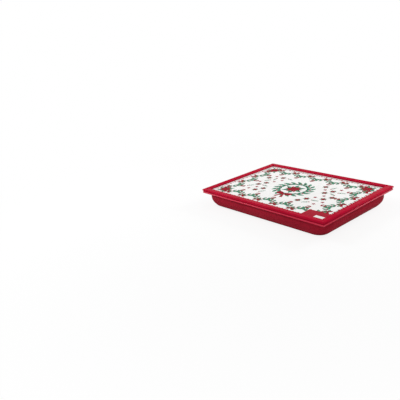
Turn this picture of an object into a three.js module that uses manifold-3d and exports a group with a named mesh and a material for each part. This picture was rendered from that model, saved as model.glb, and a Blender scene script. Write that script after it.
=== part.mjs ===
// A cushioned lap tray: a wipe-clean panel held in a mitred rim, lying on a tapered bead cushion.
// Millimetres, +Z up. The origin is the middle of the cushion's underside, on what it rests on.
// +X runs along the tray's long side, and -Y is the side that faces its user.
import * as THREE from "three";
import { mergeVertices } from "three/addons/utils/BufferGeometryUtils.js";
import Module from "manifold-3d";

const wasm = await Module();
wasm.setup();

// Tray outline, over the rim
const trayLength = 420;
const trayWidth = 310;

// Section of a rim rail: a top that rounds over outwards, a narrow cove, a bead, and a groove for the panel
const railWidth = 16.5;
const railHeight = 13;
const innerEdgeRadius = 0.8;
const outerEdgeRadius = 4;
const coveDepth = 2.2; // halfway down the cove, behind the top's outer edge
const beadSetback = 1.2; // behind the top's outer edge
const beadRadius = 3.5;
const grooveDepth = 6; // how far the panel reaches into a rail
const wellDepth = 5; // the panel's face, below the rim's top

// Corner nails, angled strips driven up across each mitre from below
const nailLeg = 6;
const nailThickness = 1;
const nailHeight = 6;
const nailSetback = 7; // middle of a leg, behind the rail's outer edge

// Panel layers
const printedSheetThickness = 0.5;
const boardThickness = 3;
const backingSheetThickness = 0.5;

// Label in the panel's corner
const labelLength = 66;
const labelWidth = 42;
const labelThickness = 0.3;
const labelMargin = 0.8; // from the rails

// Hook-and-loop strips between the tray and the cushion
const stripLength = 180;
const stripWidth = 25;
const stripThickness = 1;
const stripMargin = 55; // from the rails at the tray's ends
const stripCornerRadius = 3;

// Cushion: drawn in from the tray's outline at its shoulder and, further, at its base
const cushionHeight = 36.7; // the shoulder that the rim rests on
const shoulderInset = 4;
const shoulderCornerRadius = 56;
const baseInset = 21;
const baseCornerRadius = 24;
const baseEdgeRadius = 1.5; // rounding between the side and the underside
const sideBulge = 6; // outward swell halfway up the side
const crownRun = 24; // width of the slope from the shoulder up to the crown
const coverThickness = 1;

// Clearances
const fitGap = 0.3; // between pieces that are fitted together
const bondLine = 0.1; // adhesive between layers that are stuck together

// Facets
const arcSteps = 6;
const cornerSteps = 8;
const sideSteps = 9;
const crownSteps = 4;

const quarterTurn = Math.PI / 2;

// Heights in the tray, above the rail's foot
const panelStack = printedSheetThickness + boardThickness + backingSheetThickness + 2 * bondLine;
const panelFace = railHeight - wellDepth;
const panelUnderside = panelFace - panelStack;
const hookUnderside = panelUnderside - bondLine - stripThickness;

// Heights in the cushion, above what it rests on
const railFoot = cushionHeight + fitGap;
const loopUnderside = railFoot + hookUnderside - fitGap - stripThickness;
const crownHeight = loopUnderside - bondLine;
const liningOffset = coverThickness + fitGap; // from the cover's outer face to the filling

const rimRed = new THREE.MeshStandardMaterial({ color: 0xa5182d, roughness: 0.3, metalness: 0 });
const sheetWhite = new THREE.MeshStandardMaterial({ color: 0xf7f5f2, roughness: 0.25, metalness: 0 });
const boardBrown = new THREE.MeshStandardMaterial({ color: 0x8b6a49, roughness: 0.8, metalness: 0 });
const backingGrey = new THREE.MeshStandardMaterial({ color: 0xc9c2b6, roughness: 0.9, metalness: 0 });
const nailSteel = new THREE.MeshStandardMaterial({ color: 0x9aa0a6, roughness: 0.35, metalness: 1 });
const stripBlack = new THREE.MeshStandardMaterial({ color: 0x25211f, roughness: 1, metalness: 0 });
const labelRed = new THREE.MeshStandardMaterial({ color: 0xa81c30, roughness: 0.35, metalness: 0 });
const coverRed = new THREE.MeshStandardMaterial({ color: 0x86182a, roughness: 0.9, metalness: 0 });
const beadWhite = new THREE.MeshStandardMaterial({ color: 0xf2f2ee, roughness: 0.8, metalness: 0 });

// A geometry as a solid for cutting
function solidOf(geometry) {
  const bare = geometry.clone();
  bare.deleteAttribute("normal");
  bare.deleteAttribute("uv");
  const merged = mergeVertices(bare);
  return new wasm.Manifold(
    new wasm.Mesh({
      numProp: 3,
      vertProperties: merged.getAttribute("position").array,
      triVerts: new Uint32Array(merged.index.array),
    }),
  );
}

// A solid as a geometry again
function geometryOf(solid) {
  const { numProp, vertProperties, triVerts } = solid.getMesh();
  const positions = [];
  for (let start = 0; start < vertProperties.length; start += numProp) {
    positions.push(...vertProperties.subarray(start, start + 3));
  }
  const geometry = new THREE.BufferGeometry();
  geometry.setAttribute("position", new THREE.Float32BufferAttribute(positions, 3));
  geometry.setIndex([...triVerts]);
  geometry.computeVertexNormals();
  return geometry;
}

function extruded(shape, depth) {
  return new THREE.ExtrudeGeometry(shape, { depth, steps: 1, bevelEnabled: false, curveSegments: arcSteps });
}

function named(name, geometry, material) {
  const mesh = new THREE.Mesh(geometry, material);
  mesh.name = name;
  return mesh;
}

// Section of a rail: x runs inwards from its outer edge, y up from the foot
function railSection() {
  const grooveBack = railWidth - grooveDepth;
  const grooveFloor = panelUnderside - fitGap;
  const grooveRoof = panelFace + fitGap;
  const innerEdge = railHeight - innerEdgeRadius;
  const outerEdge = railHeight - outerEdgeRadius;
  const beadCentre = beadSetback + beadRadius;
  const beadShoulder = beadRadius * Math.SQRT1_2;
  const coveFoot = new THREE.Vector2(beadCentre - beadShoulder, beadRadius + beadShoulder);
  const coveControl = new THREE.Vector2(2 * coveDepth - coveFoot.x / 2, (outerEdge + coveFoot.y) / 2);
  const section = new THREE.Shape();
  section.moveTo(beadCentre, 0);
  section.lineTo(railWidth, 0);
  section.lineTo(railWidth, grooveFloor);
  section.lineTo(grooveBack, grooveFloor);
  section.lineTo(grooveBack, grooveRoof);
  section.lineTo(railWidth, grooveRoof);
  section.lineTo(railWidth, innerEdge);
  section.absarc(railWidth - innerEdgeRadius, innerEdge, innerEdgeRadius, 0, quarterTurn);
  section.lineTo(outerEdgeRadius, railHeight);
  section.absarc(outerEdgeRadius, outerEdge, outerEdgeRadius, quarterTurn, 2 * quarterTurn);
  section.quadraticCurveTo(coveControl.x, coveControl.y, coveFoot.x, coveFoot.y);
  section.absarc(beadCentre, beadRadius, beadRadius, 1.5 * quarterTurn, 3 * quarterTurn);
  return section;
}

// Plan of a corner nail, whose legs run along the two rails from a point on the mitre
function nailShape(growth) {
  const half = nailThickness / 2 + growth;
  const nearSide = nailSetback - half;
  const farSide = nailSetback + half;
  const tip = nailSetback + nailLeg + growth;
  const shape = new THREE.Shape();
  shape.moveTo(nearSide, nearSide);
  shape.lineTo(tip, nearSide);
  shape.lineTo(tip, farSide);
  shape.lineTo(farSide, farSide);
  shape.lineTo(farSide, tip);
  shape.lineTo(nearSide, tip);
  shape.closePath();
  return shape;
}

// A rail along X with its outer face on y = 0 and its foot on z = 0, mitred at both ends
function railGeometry(length) {
  const geometry = extruded(railSection(), length);
  const mitreGap = fitGap / Math.SQRT2;
  const place = geometry.getAttribute("position");
  for (let i = 0; i < place.count; i += 1) {
    const cutBack = place.getX(i) + mitreGap;
    const atStart = place.getZ(i) < length / 2;
    place.setZ(i, atStart ? cutBack : length - cutBack);
  }
  const across = new THREE.Vector3(0, 1, 0);
  const up = new THREE.Vector3(0, 0, 1);
  const along = new THREE.Vector3(1, 0, 0);
  geometry.applyMatrix4(new THREE.Matrix4().makeBasis(across, up, along));
  geometry.translate(-length / 2, 0, 0);

  const slotDepth = nailHeight + 2 * fitGap;
  const leftSlot = extruded(nailShape(fitGap), slotDepth + fitGap).translate(-length / 2, 0, -fitGap);
  const rightSlot = extruded(nailShape(fitGap), slotDepth + fitGap);
  rightSlot.rotateZ(quarterTurn).translate(length / 2, 0, -fitGap);
  return geometryOf(solidOf(geometry).subtract(solidOf(leftSlot)).subtract(solidOf(rightSlot)));
}

function rails() {
  const long = railGeometry(trayLength);
  const short = railGeometry(trayWidth);
  const sides = [
    { name: "rail_front", geometry: long, x: 0, y: -trayWidth / 2 },
    { name: "rail_right", geometry: short, x: trayLength / 2, y: 0 },
    { name: "rail_back", geometry: long, x: 0, y: trayWidth / 2 },
    { name: "rail_left", geometry: short, x: -trayLength / 2, y: 0 },
  ];
  return sides.map(({ name, geometry, x, y }, turn) => {
    const rail = named(name, geometry, rimRed);
    rail.rotation.z = turn * quarterTurn;
    rail.position.set(x, y, 0);
    return rail;
  });
}

function cornerNails() {
  const corners = [
    { name: "corner_nail_front_left", x: -1, y: -1 },
    { name: "corner_nail_front_right", x: 1, y: -1 },
    { name: "corner_nail_back_right", x: 1, y: 1 },
    { name: "corner_nail_back_left", x: -1, y: 1 },
  ];
  return corners.map(({ name, x, y }, turn) => {
    const nail = named(name, extruded(nailShape(0), nailHeight), nailSteel);
    nail.rotation.z = turn * quarterTurn;
    nail.position.set((x * trayLength) / 2, (y * trayWidth) / 2, fitGap);
    return nail;
  });
}

// A layer of the panel, let into the rails' grooves all round
function panelLayer(name, thickness, top, material) {
  const reach = 2 * (railWidth - grooveDepth + fitGap);
  const layer = named(name, new THREE.BoxGeometry(trayLength - reach, trayWidth - reach, thickness), material);
  layer.position.z = top - thickness / 2;
  return layer;
}

function panel() {
  const boardTop = panelFace - printedSheetThickness - bondLine;
  const backingTop = boardTop - boardThickness - bondLine;
  return [
    panelLayer("printed_sheet", printedSheetThickness, panelFace, sheetWhite),
    panelLayer("panel_board", boardThickness, boardTop, boardBrown),
    panelLayer("backing_sheet", backingSheetThickness, backingTop, backingGrey),
  ];
}

function cornerLabel() {
  const label = named("corner_label", new THREE.BoxGeometry(labelLength, labelWidth, labelThickness), labelRed);
  label.position.set(
    trayLength / 2 - railWidth - labelMargin - labelLength / 2,
    -(trayWidth / 2 - railWidth - labelMargin - labelWidth / 2),
    panelFace + bondLine + labelThickness / 2,
  );
  return label;
}

// Outline of a rectangle with round corners, counter-clockwise about its middle
function roundedRectangle(length, width, radius) {
  const x = length / 2 - radius;
  const y = width / 2 - radius;
  const shape = new THREE.Shape();
  shape.absarc(x, y, radius, 0, quarterTurn);
  shape.absarc(-x, y, radius, quarterTurn, 2 * quarterTurn);
  shape.absarc(-x, -y, radius, 2 * quarterTurn, 3 * quarterTurn);
  shape.absarc(x, -y, radius, 3 * quarterTurn, 4 * quarterTurn);
  shape.closePath();
  return shape;
}

// The left and right strips of the hook half or the loop half
function strips(prefix, underside) {
  const shape = roundedRectangle(stripWidth, stripLength, stripCornerRadius);
  const distance = trayLength / 2 - railWidth - stripMargin - stripWidth / 2;
  return [-1, 1].map((side) => {
    const name = prefix + (side < 0 ? "_strip_left" : "_strip_right");
    const strip = named(name, extruded(shape, stripThickness), stripBlack);
    strip.position.set(side * distance, 0, underside);
    return strip;
  });
}

// One level of the cushion: a rectangle with round corners, drawn in from the tray's outline
function levelRing({ inset, radius, z }) {
  const ring = [];
  const x = trayLength / 2 - inset - radius;
  const y = trayWidth / 2 - inset - radius;
  const corners = [[x, y], [-x, y], [-x, -y], [x, -y]];
  corners.forEach(([cornerX, cornerY], corner) => {
    for (let step = 0; step <= cornerSteps; step += 1) {
      const angle = (corner + step / cornerSteps) * quarterTurn;
      ring.push(new THREE.Vector3(cornerX + radius * Math.cos(angle), cornerY + radius * Math.sin(angle), z));
    }
  });
  return ring;
}

// Faces between rings of equal length. Looped, the last ring meets the first; otherwise both ends are capped.
function loft(levels, looped) {
  const rings = levels.map(levelRing);
  const count = rings[0].length;
  const points = rings.flat();
  const faces = [];
  const bands = looped ? rings.length : rings.length - 1;
  for (let band = 0; band < bands; band += 1) {
    const here = band * count;
    const there = ((band + 1) % rings.length) * count;
    for (let i = 0; i < count; i += 1) {
      const next = (i + 1) % count;
      faces.push(here + i, here + next, there + next, here + i, there + next, there + i);
    }
  }
  if (!looped) {
    const first = points.push(new THREE.Vector3(0, 0, levels.at(0).z)) - 1;
    const last = points.push(new THREE.Vector3(0, 0, levels.at(-1).z)) - 1;
    const lastRing = (rings.length - 1) * count;
    for (let i = 0; i < count; i += 1) {
      const next = (i + 1) % count;
      faces.push(first, next, i, last, lastRing + i, lastRing + next);
    }
  }
  const geometry = new THREE.BufferGeometry().setFromPoints(points);
  geometry.setIndex(faces);
  geometry.computeVertexNormals();
  return geometry;
}

// The cushion's side at a depth under the cover's outer face, from its underside up to a given height
function sideLevels(depth, top) {
  const levels = [];
  const edgeRadius = baseEdgeRadius - depth;
  for (let step = 0; step < arcSteps; step += 1) {
    const angle = (step / arcSteps) * quarterTurn;
    const inset = baseInset + baseEdgeRadius - edgeRadius * Math.sin(angle);
    levels.push({
      inset,
      radius: baseCornerRadius - (inset - baseInset),
      z: baseEdgeRadius - edgeRadius * Math.cos(angle),
    });
  }
  for (let step = 0; step <= sideSteps; step += 1) {
    const share = step / sideSteps;
    const swell = sideBulge * 4 * share * (1 - share);
    levels.push({
      inset: THREE.MathUtils.lerp(baseInset, shoulderInset, share) - swell + depth,
      radius: THREE.MathUtils.lerp(baseCornerRadius, shoulderCornerRadius, share) - depth,
      z: THREE.MathUtils.lerp(baseEdgeRadius, top, share),
    });
  }
  return levels;
}

// The cushion's top at a depth under the cover's outer face, from inside the rim up to the crown
function crownLevels(depth) {
  const foot = railWidth + fitGap;
  const levels = [];
  for (let step = 0; step <= crownSteps; step += 1) {
    const share = step / crownSteps;
    const rise = THREE.MathUtils.smoothstep(share, 0, 1);
    const inset = foot + crownRun * share;
    levels.push({
      inset,
      radius: Math.max(shoulderCornerRadius - (inset - shoulderInset), baseEdgeRadius),
      z: THREE.MathUtils.lerp(cushionHeight, crownHeight, rise) - depth,
    });
  }
  return levels;
}

function cushionTopPanel() {
  const edge = { inset: shoulderInset, radius: shoulderCornerRadius };
  const underside = [{ ...edge, z: cushionHeight - coverThickness }, ...crownLevels(coverThickness)];
  const face = [{ ...edge, z: cushionHeight }, ...crownLevels(0)];
  return named("cushion_top_panel", loft([...underside.reverse(), ...face], false), coverRed);
}

function cushionSideBand() {
  const top = cushionHeight - coverThickness - fitGap;
  const outside = sideLevels(0, top);
  const inside = sideLevels(coverThickness, top);
  return named("cushion_side_band", loft([...outside, ...inside.reverse()], true), coverRed);
}

function cushionBottomPanel() {
  const inset = baseInset + baseEdgeRadius + fitGap;
  const radius = baseCornerRadius - baseEdgeRadius - fitGap;
  const shape = roundedRectangle(trayLength - 2 * inset, trayWidth - 2 * inset, radius);
  return named("cushion_bottom_panel", extruded(shape, coverThickness), coverRed);
}

function beadFilling() {
  const levels = [...sideLevels(liningOffset, cushionHeight - liningOffset), ...crownLevels(liningOffset)];
  return named("bead_filling", loft(levels, false), beadWhite);
}

const tray = new THREE.Group();
tray.position.z = railFoot;
tray.add(...rails(), ...cornerNails(), ...panel(), cornerLabel(), ...strips("hook", hookUnderside));

const cushion = new THREE.Group();
cushion.add(cushionTopPanel(), cushionSideBand(), cushionBottomPanel(), beadFilling());
cushion.add(...strips("loop", loopUnderside));

const lapTray = new THREE.Group();
lapTray.add(tray, cushion);

export default lapTray;
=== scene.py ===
import math
import random

import bpy
from mathutils import Matrix, Vector, noise
from mathutils.bvhtree import BVHTree


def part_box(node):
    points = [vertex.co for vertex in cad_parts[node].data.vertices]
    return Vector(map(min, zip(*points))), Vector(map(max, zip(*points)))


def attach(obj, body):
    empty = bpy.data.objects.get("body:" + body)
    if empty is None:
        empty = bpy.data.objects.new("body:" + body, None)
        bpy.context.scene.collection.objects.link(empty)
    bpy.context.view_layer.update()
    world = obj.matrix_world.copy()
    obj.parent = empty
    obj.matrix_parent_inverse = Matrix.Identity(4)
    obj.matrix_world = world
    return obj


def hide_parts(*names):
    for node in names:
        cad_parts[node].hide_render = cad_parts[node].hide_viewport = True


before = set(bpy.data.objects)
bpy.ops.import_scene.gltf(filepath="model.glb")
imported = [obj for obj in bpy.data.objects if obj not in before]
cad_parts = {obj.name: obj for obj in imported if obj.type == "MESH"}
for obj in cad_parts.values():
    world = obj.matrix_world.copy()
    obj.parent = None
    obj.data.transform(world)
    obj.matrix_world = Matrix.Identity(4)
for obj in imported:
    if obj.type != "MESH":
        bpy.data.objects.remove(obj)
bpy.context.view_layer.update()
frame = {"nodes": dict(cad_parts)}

MM = 0.001
SMOOTH_ANGLE = 60  # degrees, over which an edge stays sharp
RAIL_SMOOTH_ANGLE = 35
CORNERS = ((-1, -1), (1, -1), (1, 1), (-1, 1))

# Moulding of the rim, in mm: across from its outer edge and up from its foot
INNER_EDGE = 0.8
OUTER_EDGE = 4.0
COVE_DEPTH = 2.2
BEAD_SETBACK = 1.2
BEAD_RADIUS = 3.5
BEAD_CENTRE = BEAD_SETBACK + BEAD_RADIUS
BEAD_TOP = BEAD_RADIUS + BEAD_RADIUS * math.sqrt(0.5)  # where the cove meets the bead
GROOVE_DEPTH = 6.0
FIT_GAP = 0.3
ARRIS_RADIUS = 0.35
MITRE_EASE = 0.18  # how far a mitred end's arris is eased
MITRE_RUN = 0.45  # along the rail, over which it is eased

# Paler and deeper marks on the moulding: over 0 it is rubbed paler on its arrises and edges, and on the
# bead it is a painted highlight; under 0 it is painted shade, a deeper tone in the cove
ARRIS_WEAR = 0.2
LIP_WEAR = 0.3
INNER_EDGE_WEAR = 0.6
# painted shade: a deeper tone in the cove, where it faces away from the lamps
COVE_SHADE = -0.8
# painted highlight: a paler line along the bead's upper shoulder, where the lamps catch it
BEAD_HIGHLIGHT = 0.9
BEAD_START = 1.5  # round the bead in quarter turns, where the cove meets it
# end of the bead's painted highlight, in quarter turns
BEAD_HIGHLIGHT_END = 2.25

# Corner nails, in mm
NAIL_LEG = 6.0
NAIL_HALF = 0.5
NAIL_SETBACK = 7.0
NAIL_HEIGHT = 6.0
SLOT_OPENING = 1.0  # how far a slot's cutter starts under the rail

# Cushion, in mm: insets are from the tray's outline
SHOULDER_HEIGHT = 36.7
SHOULDER_INSET = 4.0
SHOULDER_RADIUS = 56.0
BASE_INSET = 21.0
BASE_RADIUS = 24.0
BASE_EDGE = 1.5
START_BULGE = 5.0
CROWN_RUN = 24.0
CROWN_HEIGHT = 38.25
ROLL_SWELL = 3.0  # how far the filling rolls out over the middle of each side
ROLL_LEVEL = 0.62  # of the side's height
ROLL_REACH = 0.38
ROLL_LENGTH = 0.8  # of half a side
RIB_PITCH = 8.0
RIB_HEIGHT = 0.3
RIB_CORNER = 40.0  # radius that the ribs are counted on round a corner
RIB_FADE = 0.1  # of the side's height, next to each seam
FLAT_RISE = 0.8  # rise of a normal from which a face isn't a side any more

# The cover's cloth: mm, shares of the side's height, and noise scales per metre
CLOTH_VOXEL = 4.0
CLOTH_CAP = 3.0
CLOTH_FRAMES = 20
SEAM_REACH = 5.0
SHOULDER_SEAM_WIDTH = 6.0
BASE_SEAM_WIDTH = 4.0
PUCKER_DEPTH = 0.7
PUCKER_SCALE = 75
SHOULDER_PULL = 0.16
BASE_PULL = 0.14
BASE_PUCKER = 0.8  # of the shoulder's
LUMP_DEPTH = 1.1
LUMP_SCALE = (17, 17, 34)
LUMP_OFFSET = (3, 1, 7)
CREASE_DEPTH = 0.6
CREASE_SCALE = (9, 9, 45)

# Rolls of cloth along the cover's seams, in mm
BASE_SEAM_INSET = 1.2
BASE_SEAM_HEIGHT = 1.4
BASE_SEAM_RADIUS = 0.9
SHOULDER_SEAM_LEVEL = 0.955  # of the way up the side
SHOULDER_SEAM_RADIUS = 0.8
SEAM_SINK = 0.35
SEAM_STEP = 1.0
SEAM_STITCH = 4.0
SEAM_PINCH = 0.14  # of the roll's radius, at each stitch
SEAM_CORNER_STEPS = 16

# Stitches on the loop strips, in mm
STITCH_INSET = 2.2
STITCH_SINK = 0.1
STITCH_LENGTH = 2.6
STITCH_GAP = 1.0
STITCH_CORNER = 1.5
STITCH_ARCH = 0.16
THREAD_HALF_WIDTH = 0.3
THREAD_HALF_HEIGHT = 0.2
THREAD_SIDES = 6
THREAD_SIZES = ((0.0, 0.05), (0.12, 0.75), (0.5, 1.0), (0.88, 0.75), (1.0, 0.05))  # along a stitch

front_low, front_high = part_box("rail_front")
right_low, right_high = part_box("rail_right")
sheet_low, sheet_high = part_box("printed_sheet")
label_low, label_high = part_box("corner_label")

HALF_LENGTH = right_high.x / MM
HALF_WIDTH = -front_low.y / MM
RAIL_WIDTH = (front_high.y - front_low.y) / MM
RAIL_HEIGHT = (front_high.z - front_low.z) / MM
RAIL_FOOT = front_low.z / MM
PANEL_FACE = sheet_high.z / MM
CROWN_FOOT = RAIL_WIDTH + FIT_GAP


# Meshes

def mesh_piece(name, points, faces, body, material, smooth_angle=None):
    """A piece made from points in mm, which rides on a body."""
    mesh = bpy.data.meshes.new(name)
    mesh.from_pydata([Vector(p) * MM for p in points], [], faces)
    mesh.validate()
    piece = bpy.data.objects.new(name, mesh)
    bpy.context.scene.collection.objects.link(piece)
    if smooth_angle is not None:
        shade_smooth(mesh, smooth_angle)
    if material is not None:
        mesh.materials.append(material)
    if body is not None:
        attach(piece, body)
    return piece


def shade_smooth(mesh, angle):
    mesh.shade_smooth()
    mesh.set_sharp_from_angle(angle=math.radians(angle))


def applied(piece):
    """Takes a piece's modifiers into its mesh."""
    evaluated = piece.evaluated_get(bpy.context.evaluated_depsgraph_get())
    mesh = bpy.data.meshes.new_from_object(evaluated)
    old = piece.data
    piece.modifiers.clear()
    piece.data = mesh
    bpy.data.meshes.remove(old)


def arc(x, y, radius, start, end, steps):
    """Points on an arc, with angles in quarter turns."""
    found = []
    for step in range(steps + 1):
        angle = (start + (end - start) * step / steps) * math.pi / 2
        found.append((x + radius * math.cos(angle), y + radius * math.sin(angle)))
    return found


def curve(first, control, last, steps):
    """Points on a curve that leaves its ends towards a control point."""
    found = []
    for step in range(steps + 1):
        share = step / steps
        rest = 1 - share
        weights = (rest * rest, 2 * rest * share, share * share)
        found.append([sum(w * p for w, p in zip(weights, axis)) for axis in zip(first, control, last)])
    return found


def round_rectangle(half_x, half_y, radius, steps, x=0.0, y=0.0):
    """A rectangle with round corners, counter-clockwise."""
    found = []
    for corner, (u, v) in enumerate(((1, 1), (-1, 1), (-1, -1), (1, -1))):
        centre_x = x + u * (half_x - radius)
        centre_y = y + v * (half_y - radius)
        found += arc(centre_x, centre_y, radius, corner, corner + 1, steps)
    return found


def round_trip(points):
    """Each point of a closed path with the one after it."""
    return zip(points, points[1:] + points[:1])


def spaced(points, step):
    """A closed path's points, a step apart."""
    found, spare = [], 0.0
    for here, there in round_trip([Vector(point) for point in points]):
        length = (there - here).length
        while spare < length:
            found.append(here.lerp(there, spare / length))
            spare += step
        spare -= length
    return found


def tube_faces(count, rings, start=0):
    """Faces of a closed tube, whose points follow one another ring by ring."""
    last = start + (rings - 1) * count
    faces = [tuple(reversed(range(start, start + count))), tuple(range(last, last + count))]
    for here in range(start, last, count):
        there = here + count
        for i in range(count):
            after = (i + 1) % count
            faces.append((here + i, here + after, there + after, there + i))
    return faces


def prism(outline, low, high):
    """Points and faces of a closed prism on a counter-clockwise outline."""
    points = [(x, y, z) for z in (low, high) for x, y in outline]
    return points, tube_faces(len(outline), 2)


# Materials

def colour(red, green, blue):
    """A linear colour from 8-bit display values."""
    parts = []
    for value in (red, green, blue):
        share = value / 255
        parts.append(share / 12.92 if share <= 0.04045 else ((share + 0.055) / 1.055) ** 2.4)
    return (*parts, 1.0)


class Finish:
    """A material around one Principled shader, with short names for the nodes that it uses."""

    def __init__(self, name, **sockets):
        self.material = bpy.data.materials.new(name)
        self.material.use_nodes = True
        self.nodes = self.material.node_tree.nodes
        self.links = self.material.node_tree.links
        self.shader = self.nodes["Principled BSDF"]
        for socket, value in sockets.items():
            self.shader.inputs[socket.replace("_", " ")].default_value = value
        self.place = self.nodes.new("ShaderNodeTexCoord").outputs["Object"]

    def put(self, socket, value):
        if isinstance(value, bpy.types.NodeSocket):
            self.links.new(value, socket)
        else:
            socket.default_value = value

    def set(self, name, value):
        self.put(self.shader.inputs[name], value)

    def node(self, kind, **sockets):
        node = self.nodes.new("ShaderNode" + kind)
        for socket, value in sockets.items():
            self.put(node.inputs[socket.replace("_", " ")], value)
        return node

    def stretched(self, x, y, z):
        return self.node("Mapping", Vector=self.place, Scale=(x, y, z)).outputs["Vector"]

    def noise(self, scale, detail, roughness=0.55, place=None):
        node = self.node("TexNoise", Scale=scale, Detail=detail, Roughness=roughness)
        self.put(node.inputs["Vector"], place or self.place)
        return node.outputs["Fac"]

    def cells(self, scale):
        return self.node("TexVoronoi", Vector=self.place, Scale=scale).outputs["Distance"]

    def math(self, kind, first, second=0.0):
        node = self.node("Math")
        node.operation = kind
        self.put(node.inputs[0], first)
        self.put(node.inputs[1], second)
        return node.outputs["Value"]

    def along(self, x, y, z):
        """The place's distance along a direction."""
        node = self.node("VectorMath")
        node.operation = "DOT_PRODUCT"
        self.put(node.inputs[0], self.place)
        self.put(node.inputs[1], (x, y, z))
        return node.outputs["Value"]

    def tones(self, fac, first, second, start=0.3, end=0.7):
        """A blend from one colour to another, over a part of a 0 to 1 value."""
        node = self.node("ValToRGB", Fac=fac)
        for element, position, shade in zip(node.color_ramp.elements, (start, end), (first, second)):
            element.position = position
            element.color = shade
        return node.outputs["Color"]

    def span(self, fac, low, high):
        """A 0 to 1 value spread over another range."""
        return self.node("MapRange", Value=fac, To_Min=low, To_Max=high).outputs["Result"]

    def mix(self, fac, first, second, kind="MIX"):
        node = self.node("Mix")
        node.data_type = "RGBA"
        node.blend_type = kind
        self.put(node.inputs["Factor"], fac)
        self.put(node.inputs[6], first)
        self.put(node.inputs[7], second)
        return node.outputs[2]

    def attribute(self, name):
        node = self.node("Attribute")
        node.attribute_name = name
        return node.outputs["Fac"]

    def bump(self, height, distance, strength, under=None):
        node = self.node("Bump", Height=height, Distance=distance, Strength=strength)
        if under is not None:
            self.put(node.inputs["Normal"], under)
        return node.outputs["Normal"]


def rim_finish(name, gloss):
    """Gloss red moulding with a faint ripple, paler on its scuffed edges, with a painted highlight along
    the bead and painted shade in its cove.
    """
    finish = Finish(name, Specular_IOR_Level=gloss)
    tone = finish.tones(finish.noise(22, detail=5), colour(174, 15, 43), colour(188, 21, 53))
    patches = finish.span(finish.noise(160, detail=3), 0.6, 1.0)
    # paler share: scuffing on the edges and a painted highlight on the bead
    paler_share = finish.math("MULTIPLY", finish.attribute("wear_and_painted_light"), patches)
    paler_tone = finish.mix(paler_share, tone, colour(236, 72, 98))
    # painted shade: a deeper red in the cove
    finish.set("Base Color", finish.mix(finish.attribute("painted_cove_shade"), paler_tone, colour(120, 8, 27)))
    finish.set("Roughness", finish.span(finish.noise(60, detail=4), 0.2, 0.3))
    finish.set("Normal", finish.bump(finish.noise(240, detail=3), distance=0.0001, strength=0.12))
    return finish.material


def laminate_finish():
    """White wipe-clean sheet with a fine grain."""
    finish = Finish("laminate_white", Specular_IOR_Level=0.015)
    cast = finish.noise(35, detail=6)
    finish.set("Base Color", finish.tones(cast, colour(241, 240, 238), colour(247, 246, 245)))
    finish.set("Roughness", finish.span(finish.noise(90, detail=4), 0.26, 0.38))
    finish.set("Normal", finish.bump(finish.noise(1500, detail=2), distance=0.00003, strength=0.3))
    return finish.material


def ink_finish(name, shade, deeper):
    """A printed ink, which lies a little unevenly."""
    finish = Finish(name, Specular_IOR_Level=0.01)
    finish.set("Base Color", finish.tones(finish.noise(700, detail=4), deeper, shade))
    finish.set("Roughness", finish.span(finish.noise(90, detail=4), 0.28, 0.4))
    finish.set("Normal", finish.bump(finish.noise(1500, detail=2), distance=0.00003, strength=0.3))
    return finish.material


def woven_height(finish, pitch):
    """Crossing threads that run round the sides and across the faces."""
    turns = 2 * math.pi / pitch
    weft = finish.math("SINE", finish.along(turns, turns, 0))
    warp = finish.math("SINE", finish.along(turns, -turns, turns))
    return finish.span(finish.math("MULTIPLY", weft, warp), 0.5, 1.0)


def cover_finish():
    """Dark red woven polyester with a soft sheen and a slightly uneven dye."""
    finish = Finish(
        "cover_weave",
        Sheen_Weight=0.05,
        Sheen_Roughness=0.4,
        Sheen_Tint=colour(214, 90, 105),
        Specular_IOR_Level=0.06,
    )
    weave = woven_height(finish, 0.0011)
    dye = finish.tones(finish.noise(26, detail=6, roughness=0.6), colour(153, 25, 43), colour(169, 31, 51))
    threads = finish.tones(weave, colour(220, 220, 220), colour(255, 255, 255), 0.2, 0.8)
    finish.set("Base Color", finish.mix(1.0, dye, threads, "MULTIPLY"))
    finish.set("Roughness", finish.span(finish.noise(300, detail=3), 0.72, 0.9))
    slub = finish.bump(finish.noise(160, detail=5, roughness=0.7), distance=0.0005, strength=0.3)
    finish.set("Normal", finish.bump(weave, distance=0.0003, strength=0.5, under=slub))
    return finish.material


def thread_finish():
    """Twisted sewing thread."""
    finish = Finish("sewing_thread", Sheen_Weight=0.2)
    twist = finish.span(finish.math("SINE", finish.along(9000, 9000, 7000)), 0.5, 1.0)
    finish.set("Base Color", finish.tones(twist, colour(26, 23, 22), colour(58, 52, 50), 0.2, 0.8))
    finish.set("Roughness", finish.span(finish.noise(900, detail=2), 0.55, 0.75))
    finish.set("Normal", finish.bump(twist, distance=0.0001, strength=0.5))
    return finish.material


def board_finish():
    """Pressed hardboard."""
    finish = Finish("hardboard")
    fibres = finish.noise(240, detail=8, roughness=0.75, place=finish.stretched(1, 1, 4))
    finish.set("Base Color", finish.tones(fibres, colour(112, 82, 54), colour(154, 121, 86)))
    finish.set("Roughness", finish.span(fibres, 0.7, 0.95))
    finish.set("Normal", finish.bump(fibres, distance=0.0003, strength=0.6))
    return finish.material


def backing_finish():
    """Balancing paper with a felted grain."""
    finish = Finish("backing_paper")
    fibres = finish.noise(500, detail=8, roughness=0.7, place=finish.stretched(1, 0.25, 1))
    finish.set("Base Color", finish.tones(fibres, colour(187, 180, 168), colour(211, 204, 192)))
    finish.set("Roughness", finish.span(fibres, 0.75, 0.95))
    finish.set("Normal", finish.bump(fibres, distance=0.0001, strength=0.5))
    return finish.material


def nail_finish():
    """Bright steel strip, drawn lengthwise."""
    finish = Finish("nail_steel", Metallic=1.0)
    drawn = finish.noise(900, detail=4, roughness=0.6, place=finish.stretched(1, 1, 0.05))
    finish.set("Base Color", finish.tones(drawn, colour(140, 146, 152), colour(184, 189, 194)))
    finish.set("Roughness", finish.span(drawn, 0.25, 0.45))
    return finish.material


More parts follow.
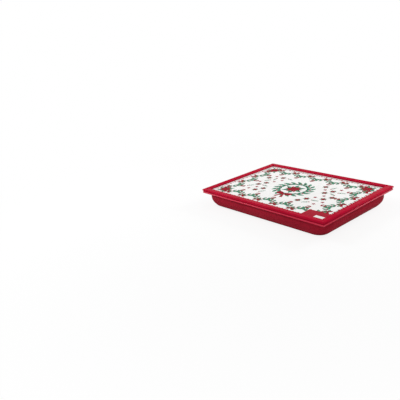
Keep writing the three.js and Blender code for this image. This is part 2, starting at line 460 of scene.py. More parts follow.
def hook_finish():
    """Nylon tape covered with rows of small hooks."""
    finish = Finish("hook_tape")
    hooks = finish.cells(620)
    finish.set("Base Color", finish.tones(hooks, colour(70, 66, 64), colour(30, 27, 26), 0.1, 0.6))
    finish.set("Roughness", finish.span(hooks, 0.4, 0.75))
    finish.set("Normal", finish.bump(finish.math("SUBTRACT", 1.0, hooks), distance=0.0006, strength=0.9))
    return finish.material


def loop_finish():
    """Brushed tape covered with a felt of loops."""
    finish = Finish("loop_tape", Sheen_Weight=0.3)
    felt = finish.noise(1300, detail=8, roughness=0.8)
    finish.set("Base Color", finish.tones(felt, colour(28, 25, 24), colour(58, 53, 50)))
    finish.set("Roughness", finish.span(felt, 0.8, 1.0))
    finish.set("Normal", finish.bump(felt, distance=0.0005, strength=0.8))
    return finish.material


def paper_finish(name, shade, deeper, roughness):
    """Coated label paper."""
    finish = Finish(name, Specular_IOR_Level=0.02)
    finish.set("Base Color", finish.tones(finish.noise(180, detail=6), deeper, shade))
    finish.set("Roughness", finish.span(finish.noise(400, detail=4), *roughness))
    finish.set("Normal", finish.bump(finish.noise(900, detail=4), distance=0.00004, strength=0.4))
    return finish.material


# Rim

def rail_section():
    """Outline of a rail, counter-clockwise, as (across, up, mark) in mm: the mark is scuffing or the bead's
    painted highlight over 0, and the cove's painted shade under 0.
    """
    back = RAIL_WIDTH - GROOVE_DEPTH
    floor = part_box("backing_sheet")[0].z / MM - RAIL_FOOT - FIT_GAP
    roof = PANEL_FACE - RAIL_FOOT + FIT_GAP
    inner_edge = RAIL_HEIGHT - INNER_EDGE
    outer_edge = RAIL_HEIGHT - OUTER_EDGE
    ease = ARRIS_RADIUS
    inner = RAIL_WIDTH - ease
    outline = []

    def run(points, wear_and_painted_light):
        for step, (across, up) in enumerate(points):
            share = step / max(len(points) - 1, 1)
            outline.append((across, up, wear_and_painted_light * math.sin(math.pi * share)))

    run(arc(inner, ease, ease, -1, 0, steps=4), ARRIS_WEAR)
    run(arc(inner, floor - ease, ease, 0, 1, steps=4), ARRIS_WEAR)
    run([(back, floor), (back, roof)], 0)
    run(arc(inner, roof + ease, ease, -1, 0, steps=4), LIP_WEAR)
    run(arc(RAIL_WIDTH - INNER_EDGE, inner_edge, INNER_EDGE, 0, 1, steps=8), INNER_EDGE_WEAR)
    run([(RAIL_WIDTH * share + OUTER_EDGE * (1 - share), RAIL_HEIGHT) for share in (0.8, 0.5, 0.2)], 0)
    run(arc(OUTER_EDGE, outer_edge, OUTER_EDGE, 1, 2, steps=14), 0)
    cove_foot = BEAD_CENTRE - BEAD_RADIUS * math.sqrt(0.5)
    control = (2 * COVE_DEPTH - cove_foot / 2, (outer_edge + BEAD_TOP) / 2)
    # painted shade in the cove
    run(curve((0, outer_edge), control, (cove_foot, BEAD_TOP), steps=12)[1:-1], COVE_SHADE)
    # painted highlight along the bead's upper shoulder
    run(arc(BEAD_CENTRE, BEAD_RADIUS, BEAD_RADIUS, BEAD_START, BEAD_HIGHLIGHT_END, steps=9), BEAD_HIGHLIGHT)
    run(arc(BEAD_CENTRE, BEAD_RADIUS, BEAD_RADIUS, BEAD_HIGHLIGHT_END, 3, steps=9)[1:], 0)
    return outline


def eased(outline, amount):
    """The outline drawn in along its normals."""
    found = []
    for i, (across, up, _) in enumerate(outline):
        before = outline[i - 1]
        after = outline[(i + 1) % len(outline)]
        along = Vector((after[0] - before[0], after[1] - before[1])).normalized()
        found.append((across - along.y * amount, up + along.x * amount))
    return found


def rail_form(outline, half):
    """Points and faces of a rail along X, mitred at both ends."""
    drawn_in = eased(outline, MITRE_EASE)
    gap = FIT_GAP / math.sqrt(2)
    rings = []
    for sign in (-1, 1):
        end_ring = [(sign * (half - u - gap), u, z) for u, z in drawn_in]
        near_ring = [(sign * (half - u - gap - MITRE_RUN), u, z) for u, z, _ in outline]
        rings += [end_ring, near_ring] if sign < 0 else [near_ring, end_ring]
    return [point for level in rings for point in level], tube_faces(len(outline), len(rings))


def nail_outline(grow):
    """Plan of an angled nail at a corner of the tray, grown all round."""
    near = NAIL_SETBACK - NAIL_HALF - grow
    far = NAIL_SETBACK + NAIL_HALF + grow
    tip = NAIL_SETBACK + NAIL_LEG + grow
    return [(near, near), (tip, near), (tip, far), (far, far), (far, tip), (near, tip)]


def cut_slot(piece, end, half, turned):
    """Cuts a nail's slot into the foot of a rail, at one of its ends."""
    corner = nail_outline(FIT_GAP)
    if end > 0:
        corner = [(-v, u) for u, v in corner]
    outline = [(end * half + u, v) for u, v in corner]
    points, faces = prism(outline, -SLOT_OPENING, NAIL_HEIGHT + 2 * FIT_GAP)
    cutter = mesh_piece("slot", [turned @ Vector(p) for p in points], faces, None, None)
    cut = piece.modifiers.new("slot", "BOOLEAN")
    cut.operation = "DIFFERENCE"
    cut.solver = "EXACT"
    cut.object = cutter
    applied(piece)
    bpy.data.objects.remove(cutter)


def rail_piece(side, half, x, y, turn, face_material, bead_material):
    """A rail with its bead in a material of its own, scuffed paler along its moulding, with a painted
    highlight on the bead and painted shade in the cove, and slotted for the nails.
    """
    outline = rail_section()
    points, faces = rail_form(outline, half)
    turned = Matrix.Translation((x, y, RAIL_FOOT)) @ Matrix.Rotation(turn * math.pi / 2, 4, "Z")
    piece = mesh_piece("rim_" + side, [turned @ Vector(p) for p in points], faces, None, face_material)
    piece.data.materials.append(bead_material)
    for face in piece.data.polygons:
        spot = turned.inverted() @ (face.center / MM)
        face.material_index = 1 if spot.y < BEAD_CENTRE and spot.z < BEAD_TOP else 0
    # one attribute for scuffing and the bead's painted highlight, one for the cove's painted shade
    for name, sign in (("wear_and_painted_light", 1), ("painted_cove_shade", -1)):
        layer = piece.data.attributes.new(name, "FLOAT", "POINT")
        for i, value in enumerate(layer.data):
            value.value = max(sign * outline[i % len(outline)][2], 0)
    for end in (-1, 1):
        cut_slot(piece, end, half, turned)
    shade_smooth(piece.data, RAIL_SMOOTH_ANGLE)
    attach(piece, "tray")
    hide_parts("rail_" + side)


def make_rim():
    face = rim_finish("rim_gloss", gloss=0.004)
    bead = rim_finish("bead_gloss", gloss=0.07)
    rail_piece("front", HALF_LENGTH, 0, -HALF_WIDTH, 0, face, bead)
    rail_piece("right", HALF_WIDTH, HALF_LENGTH, 0, 1, face, bead)
    rail_piece("back", HALF_LENGTH, 0, HALF_WIDTH, 2, face, bead)
    rail_piece("left", HALF_WIDTH, -HALF_LENGTH, 0, 3, face, bead)


# Print on the panel, in mm and radians

INK_FOOT = 0.005
INK_LIFT = 0.015
INK_STEP = 0.025  # from one ink to the next
SHAPE_STEP = 0.003  # from one shape to the next in an ink, so that overlapping shapes don't share a face
SHAPE_LEVELS = 8
LEAF_SPREAD = 0.75  # from a leaf or a needle to its stem
LEAF_WIDTH = 0.46  # of its length


class Print:
    """Flat shapes in a few inks, gathered into one piece for each ink."""

    def __init__(self):
        self.shapes = {"dark_green": [], "light_green": [], "red": []}

    def add(self, ink, outline, x, y, turn=0.0, size=1.0):
        cos, sin = math.cos(turn) * size, math.sin(turn) * size
        self.shapes[ink].append([(x + u * cos - v * sin, y + u * sin + v * cos) for u, v in outline])

    def dot(self, ink, x, y, radius):
        self.add(ink, arc(0, 0, radius, 0, 4, steps=14)[:-1], x, y)

    def star(self, ink, x, y, radius):
        """A star of five points, with one of them up."""
        points = 5
        waist = radius * 0.45
        outline = []
        for i in range(2 * points):
            reach = waist if i % 2 else radius
            angle = math.pi * i / points
            outline.append((reach * math.cos(angle), reach * math.sin(angle)))
        self.add(ink, outline, x, y, math.pi / 2)

    def leaf(self, x, y, turn, length, width, inks=("dark_green", "light_green")):
        """A pointed leaf, with one ink on each side of its rib."""
        steps = 8
        lean = 0.85  # under 1, the leaf is widest nearer its stalk
        rib_half = 0.12
        for ink, side in zip(inks, (1, -1)):
            edge = []
            for step in range(steps + 1):
                share = step / steps
                swell = max(math.sin(math.pi * share ** lean), 0) * width / 2
                edge.append((share * length, side * (swell + rib_half)))
            if side > 0:
                edge.reverse()
            self.add(ink, edge, x, y, turn)

    def sprig(self, x, y, turn, length):
        """A fir twig: a stem with needles in pairs, shorter towards its tip."""
        stem = [(0, -0.35), (length, -0.2), (length, 0.2), (0, 0.35)]
        self.add("dark_green", stem, x, y, turn)
        pairs = 6
        first_gap = 0.6  # of the spacing between pairs
        longest, shortening = 0.42, 0.22  # of the stem's length
        for pair in range(pairs):
            share = (pair + first_gap) / pairs
            reach = length * (longest - shortening * share)
            taper = reach * 0.6
            root_x = x + math.cos(turn) * length * share
            root_y = y + math.sin(turn) * length * share
            ink = "dark_green" if pair % 2 else "light_green"
            needle = [(0, -0.55), (taper, -0.5), (reach, 0), (taper, 0.5), (0, 0.55)]
            for side in (-1, 1):
                self.add(ink, needle, root_x, root_y, turn + side * LEAF_SPREAD)

    def bauble(self, x, y, turn, radius):
        """A hanging ball with a cap, and a row of spots on the pale band round its middle."""
        band_half = 0.24  # of the radius
        band = math.asin(band_half) / math.pi * 2
        half = arc(0, 0, radius, band, 2 - band, steps=14)
        for half_turn in (turn, turn + math.pi):
            self.add("red", half, x, y, half_turn)
        cap = [(-0.3, 0.98), (0.3, 0.98), (0.22, 1.3), (-0.22, 1.3)]
        self.add("dark_green", cap, x, y, turn, radius)
        spot_radius = radius * 0.15
        for place in (-0.6, 0, 0.6):
            reach = place * radius
            self.dot("light_green", x + math.cos(turn) * reach, y + math.sin(turn) * reach, spot_radius)

    def bow(self, x, y, turn, size):
        loop = [(0, 0.06), (0.35, 0.5), (0.8, 0.62), (1.0, 0.35), (0.92, -0.05), (0.6, -0.22), (0, -0.08)]
        tail = [(0.02, -0.05), (0.22, -0.1), (0.62, -0.98), (0.42, -0.92), (0.28, -1.1)]
        knot_radius = size * 0.17
        for side in (1, -1):
            for part in (loop, tail):
                self.add("red", [(side * u, v) for u, v in part], x, y, turn, size)
        self.dot("red", x, y, knot_radius)

    def winter_flower(self, x, y, size, turn):
        """Two rounds of pointed petals on a round of leaves, with a round of dots in its middle."""
        petals = 6
        half_step = 0.52
        leaf_length, leaf_width = size * 1.12, size * 0.42
        for i in range(petals):
            angle = turn + 2 * math.pi * i / petals + half_step
            self.leaf(x, y, angle, leaf_length, leaf_width)
        for length, offset in ((size * 0.82, 0.0), (size * 0.5, half_step)):
            for i in range(petals):
                angle = turn + 2 * math.pi * i / petals + offset
                self.leaf(x, y, angle, length, length * LEAF_WIDTH, ("red", "red"))
        dots = 5
        reach = size * 0.09
        dot_radius = size * 0.045
        for i in range(dots):
            angle = 2 * math.pi * i / dots
            self.dot("light_green", x + reach * math.cos(angle), y + reach * math.sin(angle), dot_radius)

    def swag(self, start, end, sag, leaf_length):
        """A leafy garland that hangs from start to end, inwards by sag, with a ball under its middle."""
        run = end - start
        inward = Vector((-run.y, run.x)).normalized()
        leaves = 6
        margin = 0.15  # of the spacing between leaves
        leaf_width = leaf_length * LEAF_WIDTH
        berry_radius = leaf_length * 0.14
        ball_radius = leaf_length * 0.5
        for i in range(leaves + 1):
            share = (i + margin) / (leaves + 2 * margin)
            spot = start + run * share + inward * sag * 4 * share * (1 - share)
            slope = run.normalized() + inward * sag * 4 * (1 - 2 * share) / run.length
            towards = math.atan2(slope.y, slope.x) + (0 if share < 0.5 else math.pi)
            for side in (-1, 1):
                self.leaf(spot.x, spot.y, towards + side * LEAF_SPREAD, leaf_length, leaf_width)
            self.dot("red", spot.x, spot.y, berry_radius)
        middle = start + run / 2 + inward * (sag + leaf_length)
        self.bauble(middle.x, middle.y, math.atan2(-inward.y, -inward.x) - math.pi / 2, ball_radius)

    def pieces(self, inks):
        for level, (ink, outlines) in enumerate(self.shapes.items()):
            points, faces = [], []
            for number, outline in enumerate(outlines):
                low = PANEL_FACE + INK_FOOT + number % SHAPE_LEVELS * SHAPE_STEP
                high = low + INK_LIFT + level * INK_STEP
                area = sum(a[0] * b[1] - b[0] * a[1] for a, b in round_trip(outline))
                more, more_faces = prism(outline if area > 0 else outline[::-1], low, high)
                faces += [tuple(len(points) + i for i in face) for face in more_faces]
                points += more
            mesh_piece("print_" + ink, points, faces, "tray", inks[ink])


def border_row(design, inset, spacing):
    """Diamonds and dots by turns, all round the panel."""
    half_x = HALF_LENGTH - RAIL_WIDTH - inset
    half_y = HALF_WIDTH - RAIL_WIDTH - inset
    diamond = [(4.6, 0), (0, 3.4), (-4.6, 0), (0, -3.4)]
    dot_radius = 1.9
    corners = [Vector((u * half_x, v * half_y)) for u, v in CORNERS]
    for start, end in round_trip(corners):
        run = end - start
        count = 2 * round(run.length / spacing / 2)
        for i in range(count):
            spot = start + run * i / count
            if i % 2:
                design.dot("dark_green", spot.x, spot.y, dot_radius)
            else:
                design.add("red", diamond, spot.x, spot.y, math.atan2(run.y, run.x))


def garland_rows(design, half_x, half_y):
    """Garlands along the four sides, with a bow at each point that they hang from."""
    hang, corner, sag = 20.0, 52.0, 19.0
    leaf_length = 15.0
    bow_size = 12.0
    along, across = 5, 3
    rows = (
        ((-half_x + corner, -half_y + hang), (half_x - corner, -half_y + hang), along),
        ((half_x - hang, -half_y + corner), (half_x - hang, half_y - corner), across),
        ((half_x - corner, half_y - hang), (-half_x + corner, half_y - hang), along),
        ((-half_x + hang, half_y - corner), (-half_x + hang, -half_y + corner), across),
    )
    for start, end, count in rows:
        start = Vector(start)
        step = (Vector(end) - start) / count
        for i in range(count):
            design.swag(start + step * i, start + step * (i + 1), sag, leaf_length)
        for i in range(count + 1):
            spot = start + step * i
            design.bow(spot.x, spot.y, math.atan2(step.y, step.x) + math.pi, bow_size)


def wreath(design, radius):
    """A ring of leaves in pairs, with berries by turns large and small, and a bow."""
    pairs = 18
    spread = 0.66
    leaf_length, leaf_width = 21.0, 9.0
    small_berry, large_berry = 2.2, 3.0
    bow_size = 24.0
    for i in range(pairs):
        angle = 2 * math.pi * i / pairs
        x, y = radius * math.cos(angle), radius * math.sin(angle)
        for side in (-1, 1):
            design.leaf(x, y, angle + math.pi / 2 + side * spread, leaf_length, leaf_width)
        design.dot("red", x, y, large_berry if i % 2 else small_berry)
    design.bow(0, -radius, 0, bow_size)


def scatter(design, half_x, half_y, clear):
    """Stars, twigs and small flowers in staggered rows on either side of the wreath."""
    draw = random.Random(12)
    column_step, row_step = 25.0, 20.5
    star_radius, flower_size = 6.5, 9.5
    twig_length, twig_back, berry_radius = 18.0, 8.0, 2.4
    for row in range(-3, 4):
        for column in range(-6, 7):
            x = (column + (row % 2) / 2) * column_step
            y = row * row_step
            turn = draw.uniform(0, 2 * math.pi)
            if abs(x) > half_x or abs(y) > half_y or math.hypot(x, y) < clear:
                continue
            kind = (column + 2 * row) % 3
            if kind == 0:
                root_x = x - twig_back * math.cos(turn)
                root_y = y - twig_back * math.sin(turn)
                design.sprig(root_x, root_y, turn, twig_length)
                design.dot("red", root_x, root_y, berry_radius)
            elif kind == 1:
                design.star("red", x, y, star_radius)
            else:
                design.winter_flower(x, y, flower_size, turn)


def make_print():
    design = Print()
    half_x = HALF_LENGTH - RAIL_WIDTH
    half_y = HALF_WIDTH - RAIL_WIDTH
    corner_inset = 32.0
    scatter_inset = 66.0
    border_row(design, inset=8.0, spacing=8.5)
    garland_rows(design, half_x, half_y)
    for x in (-1, 1):
        for y in (-1, 1):
            flower_x, flower_y = x * (half_x - corner_inset), y * (half_y - corner_inset)
            design.winter_flower(flower_x, flower_y, size=24.0, turn=0.35 * x * y)
    wreath(design, radius=46.0)
    design.winter_flower(0, 0, size=30.0, turn=0.2)
    scatter(design, half_x - scatter_inset, half_y - scatter_inset, clear=82.0)

    inks = {
        "red": ink_finish("ink_red", colour(158, 24, 44), colour(138, 14, 33)),
        "dark_green": ink_finish("ink_dark_green", colour(46, 98, 78), colour(34, 82, 64)),
        "light_green": ink_finish("ink_light_green", colour(74, 158, 124), colour(56, 142, 108)),
    }
    design.pieces(inks)


# Label, in mm

PATCH_LENGTH = 30.0
PATCH_WIDTH = 15.0
PATCH_END_INSET = 0.6
PATCH_SIDE_INSET = 4.0
PATCH_LIFT = 0.01
PATCH_THICKNESS = 0.05


def make_label():
    """The stuck-on label, with a bare white patch."""
    frame["nodes"]["corner_label"].data.materials[0] = paper_finish(
        "label_paper", colour(172, 24, 48), colour(160, 18, 40), (0.3, 0.45)
    )
    right = label_high.x / MM - PATCH_END_INSET
    left = right - PATCH_LENGTH
    near = label_low.y / MM + PATCH_SIDE_INSET
    far = near + PATCH_WIDTH
    foot = label_high.z / MM + PATCH_LIFT
    outline = [(left, near), (right, near), (right, far), (left, far)]
    points, faces = prism(outline, foot, foot + PATCH_THICKNESS)
    patch = paper_finish("label_white", colour(243, 242, 240), colour(233, 232, 230), (0.35, 0.5))
    mesh_piece("label_patch", points, faces, "tray", patch)


# Cushion

def ring(inset, radius, height, corner_steps=10):
    """A level of the cushion, drawn in from the tray's outline."""
    outline = round_rectangle(HALF_LENGTH - inset, HALF_WIDTH - inset, radius, corner_steps)
    return [(x, y, height) for x, y in outline]


def side_ring(share, bulge, corner_steps=10):
    """The side at a share of the way from the base edge to the shoulder."""
    swell = bulge * 4 * share * (1 - share)
    return ring(
        BASE_INSET + (SHOULDER_INSET - BASE_INSET) * share - swell,
        BASE_RADIUS + (SHOULDER_RADIUS - BASE_RADIUS) * share,
        BASE_EDGE + (SHOULDER_HEIGHT - BASE_EDGE) * share,
        corner_steps,
    )


def crown_height(share):
    """Height of the cushion's top, a share of the way up from its shoulder to the crown."""
    return SHOULDER_HEIGHT + (CROWN_HEIGHT - SHOULDER_HEIGHT) * share * share * (3 - 2 * share)


def cushion_form():
    """Points and faces of the closed cushion before it is filled."""
    edge_steps, side_steps, crown_steps = 5, 8, 5
    rings = []
    for step in range(edge_steps):
        angle = step / edge_steps * math.pi / 2
        draw = BASE_EDGE * (1 - math.sin(angle))
        rings.append(ring(BASE_INSET + draw, BASE_RADIUS - draw, BASE_EDGE * (1 - math.cos(angle))))
    for step in range(side_steps + 1):
        rings.append(side_ring(step / side_steps, START_BULGE))
    for step in range(crown_steps + 1):
        share = step / crown_steps
        inset = CROWN_FOOT + CROWN_RUN * share
        rings.append(ring(inset, SHOULDER_RADIUS - (inset - SHOULDER_INSET), crown_height(share)))
    return [point for level in rings for point in level], tube_faces(len(rings[0]), len(rings))


def inset_of(point):
    """How far a point lies inside the tray's outline, in mm."""
    return min(HALF_LENGTH - abs(point.x) / MM, HALF_WIDTH - abs(point.y) / MM)


def ceiling_of(point):
    """The highest that the cushion may reach under the tray, in mm."""
    return crown_height(min(max((inset_of(point) - CROWN_FOOT) / CROWN_RUN, 0), 1))


def uprightness(normal):
    """1 on an upright face, falling to 0 on one that isn't a side."""
    return 1 - min(abs(normal.z) / FLAT_RISE, 1)


def seam_hold(point):
    """1 on the cushion's two seams, falling to 0 a little way off."""
    height = point.z / MM
    inset = inset_of(point)
    off_shoulder = abs(height - SHOULDER_HEIGHT) + max(inset - SHOULDER_INSET - SHOULDER_SEAM_WIDTH, 0)
    off_base = math.hypot(max(height - BASE_EDGE, 0), max(inset - BASE_INSET - BASE_SEAM_WIDTH, 0))
    return max(0.0, 1 - min(off_shoulder, off_base) / SEAM_REACH)


def fill_cushion(piece):
    """Blows the cover up against its seams, as the filling does."""
    remesh = piece.modifiers.new("even", "REMESH")
    remesh.mode = "VOXEL"
    remesh.voxel_size = CLOTH_VOXEL * MM
    smooth = piece.modifiers.new("smooth", "SMOOTH")
    smooth.factor = 0.5
    smooth.iterations = 3
    applied(piece)
    before = [v.co.copy() for v in piece.data.vertices]
    seams = piece.vertex_groups.new(name="seams")
    for i, point in enumerate(before):
        hold = seam_hold(point)
        if hold > 0:
            seams.add([i], hold, "REPLACE")
    cloth = piece.modifiers.new("fill", "CLOTH")
    settings = cloth.settings
    settings.quality = 6
    settings.mass = 0.3
    settings.tension_stiffness = 15
    settings.compression_stiffness = 15
    settings.shear_stiffness = 5
    settings.bending_stiffness = 0.6
    settings.use_pressure = True
    settings.uniform_pressure_force = 4
    settings.vertex_group_mass = "seams"
    settings.effector_weights.gravity = 0
    for step in range(1, CLOTH_FRAMES + 1):
        bpy.context.scene.frame_set(step)
    applied(piece)
    bpy.context.scene.frame_set(1)
    return before


def roll_of(point, normal, share):
    """How far the filling rolls out: most over the middle of a side, nothing at its corners and seams."""
    if abs(normal.y) > abs(normal.x):
        along = abs(point.x) / MM / HALF_LENGTH
    else:
        along = abs(point.y) / MM / HALF_WIDTH
    off_level = min(abs(share - ROLL_LEVEL) / ROLL_REACH, 1)
    return ROLL_SWELL * math.cos(off_level * math.pi / 2) ** 2 * max(1 - (along / ROLL_LENGTH) ** 2, 0)


def lie_of_cloth(point, share):
    """Puckers along the seams, soft lumps and level creases, in mm."""
    pull = math.exp(-(1 - share) / SHOULDER_PULL) + BASE_PUCKER * math.exp(-share / BASE_PULL)
    pucker = noise.noise(Vector((point.x, point.y, 0)) * PUCKER_SCALE) * PUCKER_DEPTH * pull
    lump = noise.noise(point * Vector(LUMP_SCALE) + Vector(LUMP_OFFSET)) * LUMP_DEPTH
    crease = noise.noise(point * Vector(CREASE_SCALE)) * CREASE_DEPTH
    return pucker + lump + crease


def settle_cushion(piece, before):
    """Caps the swelling, adds the lie of the cloth, lays the base flat and keeps the top under the tray."""
    mesh = piece.data
    mesh.update()
    normals = [v.normal.copy() for v in mesh.vertices]
    for vertex, start, normal in zip(mesh.vertices, before, normals):
        move = vertex.co - start
        if move.length > CLOTH_CAP * MM:
            vertex.co = start + move * (CLOTH_CAP * MM / move.length)
        point = vertex.co
        share = min(max(point.z / MM / SHOULDER_HEIGHT, 0), 1)
        swell = roll_of(point, normal, share) + lie_of_cloth(point, share)
        vertex.co = point + normal * swell * uprightness(normal) * MM
    for vertex in mesh.vertices:
        point = vertex.co
        point.z = min(max(point.z, 0.0), ceiling_of(point) * MM)
    mesh.update()


def rib_cover(piece):
    """Raises faint upright ribs on the cushion's sides, counted from the middle of each side."""
    core_x = HALF_LENGTH - SHOULDER_RADIUS
    core_y = HALF_WIDTH - SHOULDER_RADIUS
    quarter = core_y + RIB_CORNER * math.pi / 2 + core_x
    turns = 2 * math.pi * round(quarter / RIB_PITCH) / quarter
    normals = [v.normal.copy() for v in piece.data.vertices]
    for vertex, normal in zip(piece.data.vertices, normals):
        x, y = abs(vertex.co.x) / MM, abs(vertex.co.y) / MM
        if y < core_y:
            along = y
        elif x < core_x:
            along = quarter - x
        else:
            along = core_y + RIB_CORNER * math.atan2(y - core_y, x - core_x)
        share = vertex.co.z / MM / SHOULDER_HEIGHT
        clear_of_seams = min(max(min(share, 1 - share) / RIB_FADE, 0), 1)
        height = RIB_HEIGHT * math.cos(turns * along) * uprightness(normal) * clear_of_seams
        vertex.co += normal * height * MM
    piece.data.update()


def seam_path(points, surface):
    """Points laid on a surface, with the surface's normal at each."""
    found = []
    for point in points:
        spot, normal, _, _ = surface.find_nearest(Vector(point) * MM)
        found.append((spot / MM, normal))
    return found


def seam_roll(name, path, radius, material):
    """A closed roll of cloth along a seam, drawn in by its stitches."""
    sides = 8
    points, faces = [], []
    count = len(path)
    travelled = 0.0
    for i, (spot, normal) in enumerate(path):
        before, after = path[i - 1][0], path[(i + 1) % count][0]
        along = (after - before).normalized()
        across = along.cross(normal).normalized()
        out = across.cross(along)
        centre = spot - out * SEAM_SINK
        size = radius * (1 - SEAM_PINCH * (1 - abs(math.sin(math.pi * travelled / SEAM_STITCH))))
        travelled += (after - spot).length
        for side in range(sides):
            angle = 2 * math.pi * side / sides
            points.append(centre + (out * math.cos(angle) + across * math.sin(angle)) * size)
    for i in range(count):
        here, there = i * sides, (i + 1) % count * sides
        for side in range(sides):
            after = (side + 1) % sides
            faces.append((here + side, there + side, there + after, here + after))
    mesh_piece(name, points, faces, "cushion", material, SMOOTH_ANGLE)


def make_cushion():
    material = cover_finish()
    points, faces = cushion_form()
    piece = mesh_piece("cushion_cover", points, faces, None, material)
    before = fill_cushion(piece)
    settle_cushion(piece, before)
    if not piece.data.materials:
        piece.data.materials.append(material)
    finer = piece.modifiers.new("finer", "SUBSURF")
    finer.levels = finer.render_levels = 1
    applied(piece)
    rib_cover(piece)
    piece.data.shade_smooth()
    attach(piece, "cushion")
    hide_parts("cushion_top_panel", "cushion_side_band", "cushion_bottom_panel", "bead_filling")

    surface = BVHTree.FromObject(piece, bpy.context.evaluated_depsgraph_get())
    base_inset = BASE_INSET + BASE_SEAM_INSET
    base_radius = BASE_RADIUS - BASE_SEAM_INSET
    base = ring(base_inset, base_radius, BASE_SEAM_HEIGHT, SEAM_CORNER_STEPS)
    shoulder = side_ring(SHOULDER_SEAM_LEVEL, 0, SEAM_CORNER_STEPS)
    base_path = seam_path(spaced(base, SEAM_STEP), surface)
    shoulder_path = seam_path(spaced(shoulder, SEAM_STEP), surface)
    seam_roll("cushion_base_seam", base_path, BASE_SEAM_RADIUS, material)
    seam_roll("cushion_top_seam", shoulder_path, SHOULDER_SEAM_RADIUS, material)


# Strips and hidden layers

def stitch_line(node):
    """A closed line inside a strip's edge."""
    low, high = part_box(node)
    middle = (low + high) / 2 / MM
    half = (high - low) / 2 / MM
    half_x, half_y = half.x - STITCH_INSET, half.y - STITCH_INSET
    outline = round_rectangle(half_x, half_y, STITCH_CORNER, steps=5, x=middle.x, y=middle.y)
    return [(x, y, 0) for x, y in outline]


def stitch_row(name, node, height, material):
    """A row of stitches round a strip's edge."""
    spots = spaced(stitch_line(node), STITCH_LENGTH + STITCH_GAP)
    points, faces = [], []
    for here, there in round_trip(spots):
        along = (there - here).normalized()
        across = Vector((-along.y, along.x, 0))
        faces += tube_faces(THREAD_SIDES, len(THREAD_SIZES), len(points))
        for share, size in THREAD_SIZES:
            centre = here + along * STITCH_LENGTH * share
            centre.z = height + STITCH_ARCH * math.sin(math.pi * share)
            for side in range(THREAD_SIDES):
                angle = 2 * math.pi * side / THREAD_SIDES
                out = across * math.cos(angle) * THREAD_HALF_WIDTH
                out.z = math.sin(angle) * THREAD_HALF_HEIGHT
                points.append(centre + out * size)
    mesh_piece(name, points, faces, "cushion", material, SMOOTH_ANGLE)


def make_strips():
    hooks, loops, thread = hook_finish(), loop_finish(), thread_finish()
    for side in ("left", "right"):
        frame["nodes"]["hook_strip_" + side].data.materials[0] = hooks
        loop = "loop_strip_" + side
        frame["nodes"][loop].data.materials[0] = loops
        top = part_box(loop)[1].z / MM
        stitch_row("loop_stitches_" + side, loop, top - STITCH_SINK, thread)


def dress_layers():
    nodes = frame["nodes"]
    nodes["printed_sheet"].data.materials[0] = laminate_finish()
    nodes["panel_board"].data.materials[0] = board_finish()
    nodes["backing_sheet"].data.materials[0] = backing_finish()
    steel = nail_finish()
    for corner in ("front_left", "front_right", "back_left", "back_right"):
        nodes["corner_nail_" + corner].data.materials[0] = steel


# Studio

FLOOR_GLOW = 0.86  # share of plain white in the floor that the camera sees, next to the tray
FLOOR_FADE = (0.35, 1.0)  # m from the middle, where it starts to turn plain white and where it is
FLOOR_TONE = 0.94
FLOOR_REACH = 4000  # mm
SKY_LIGHT = 0.46
LAMP_AIM = (0, 0, 0.03)  # m
LENS_LENGTH = 42.534  # mm
SENSOR_WIDTH = 36  # mm
CAMERA_PLACE = (0.7971, -0.9798, 0.4851)  # m
CAMERA_TURN = (70.1129, 5.3603, 49.1374)  # degrees


def seen_directly(nodes, links):
    """1 for what the camera sees itself, in a mirror or through glass."""
    path = nodes.new("ShaderNodeLightPath")
    total = path.outputs["Is Camera Ray"]
    for other in ("Is Glossy Ray", "Is Transmission Ray"):
        node = nodes.new("ShaderNodeMath")
        node.operation = "MAXIMUM"
        links.new(total, node.inputs[0])
        links.new(path.outputs[other], node.inputs[1])
        total = node.outputs["Value"]
    return total


def make_floor():
    corners = [(u * FLOOR_REACH, v * FLOOR_REACH, 0) for u, v in CORNERS]
    floor = mesh_piece("floor", corners, [(0, 1, 2, 3)], None, None)
    material = bpy.data.materials.new("floor_white")
    material.use_nodes = True
    nodes, links = material.node_tree.nodes, material.node_tree.links
    nodes.clear()
    lit = nodes.new("ShaderNodeBsdfDiffuse")
    lit.inputs["Color"].default_value = (FLOOR_TONE, FLOOR_TONE, FLOOR_TONE, 1)
    glow = nodes.new("ShaderNodeEmission")
    glow.inputs["Strength"].default_value = 1.0
    place = nodes.new("ShaderNodeTexCoord")
    distance = nodes.new("ShaderNodeVectorMath")
    distance.operation = "LENGTH"
    links.new(place.outputs["Object"], distance.inputs[0])
    fade = nodes.new("ShaderNodeMapRange")
    fade.interpolation_type = "SMOOTHSTEP"
    fade.inputs["From Min"].default_value, fade.inputs["From Max"].default_value = FLOOR_FADE
    fade.inputs["To Min"].default_value = FLOOR_GLOW
    fade.inputs["To Max"].default_value = 1.0
    links.new(distance.outputs["Value"], fade.inputs["Value"])
    share = nodes.new("ShaderNodeMath")
    share.operation = "MULTIPLY"
    links.new(seen_directly(nodes, links), share.inputs[0])
    links.new(fade.outputs["Result"], share.inputs[1])
    blend = nodes.new("ShaderNodeMixShader")
    links.new(share.outputs["Value"], blend.inputs["Fac"])
    links.new(lit.outputs["BSDF"], blend.inputs[1])
    links.new(glow.outputs["Emission"], blend.inputs[2])
    output = nodes.new("ShaderNodeOutputMaterial")
    links.new(blend.outputs["Shader"], output.inputs["Surface"])
    floor.data.materials.append(material)


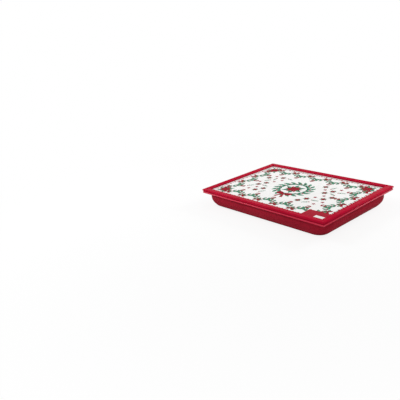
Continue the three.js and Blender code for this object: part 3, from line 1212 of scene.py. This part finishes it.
def make_world():
    world = bpy.data.worlds.new("studio")
    bpy.context.scene.world = world
    world.use_nodes = True
    nodes, links = world.node_tree.nodes, world.node_tree.links
    background = nodes["Background"]
    background.inputs["Color"].default_value = (1, 1, 1, 1)
    strength = nodes.new("ShaderNodeMapRange")
    strength.inputs["To Min"].default_value = SKY_LIGHT
    strength.inputs["To Max"].default_value = 1.0
    links.new(seen_directly(nodes, links), strength.inputs["Value"])
    links.new(strength.outputs["Result"], background.inputs["Strength"])


def softbox(name, azimuth, elevation, distance, size, power):
    """A square lamp that faces the tray. Azimuth 0 is in front, 90 on its right."""
    light = bpy.data.lights.new(name, "AREA")
    light.shape = "SQUARE"
    light.size = size
    light.energy = power
    lamp = bpy.data.objects.new(name, light)
    bpy.context.scene.collection.objects.link(lamp)
    turn, rise = math.radians(azimuth), math.radians(elevation)
    back = Vector((math.sin(turn) * math.cos(rise), -math.cos(turn) * math.cos(rise), math.sin(rise)))
    lamp.location = back * distance + Vector(LAMP_AIM)
    lamp.rotation_mode = "QUATERNION"
    lamp.rotation_quaternion = (-back).to_track_quat("-Z", "Y")
    lamp.visible_camera = False


def make_lights():
    softbox("key_light", azimuth=-58, elevation=42, distance=1.5, size=0.5, power=8.2)
    softbox("rim_light", azimuth=152, elevation=32, distance=1.35, size=0.5, power=9)
    softbox("low_light", azimuth=-30, elevation=8, distance=1.6, size=0.8, power=3.4)
    softbox("top_light", azimuth=200, elevation=75, distance=2.4, size=1.6, power=3)


def make_camera():
    lens = bpy.data.cameras.new("camera")
    lens.sensor_width = SENSOR_WIDTH
    lens.lens = LENS_LENGTH
    camera = bpy.data.objects.new("camera", lens)
    camera.location = CAMERA_PLACE
    camera.rotation_euler = [math.radians(angle) for angle in CAMERA_TURN]
    bpy.context.scene.collection.objects.link(camera)
    bpy.context.scene.camera = camera


bpy.context.scene.view_settings.view_transform = "Standard"
make_camera()
make_world()
make_lights()
make_floor()
make_cushion()
make_rim()
make_print()
make_label()
make_strips()
dress_layers()
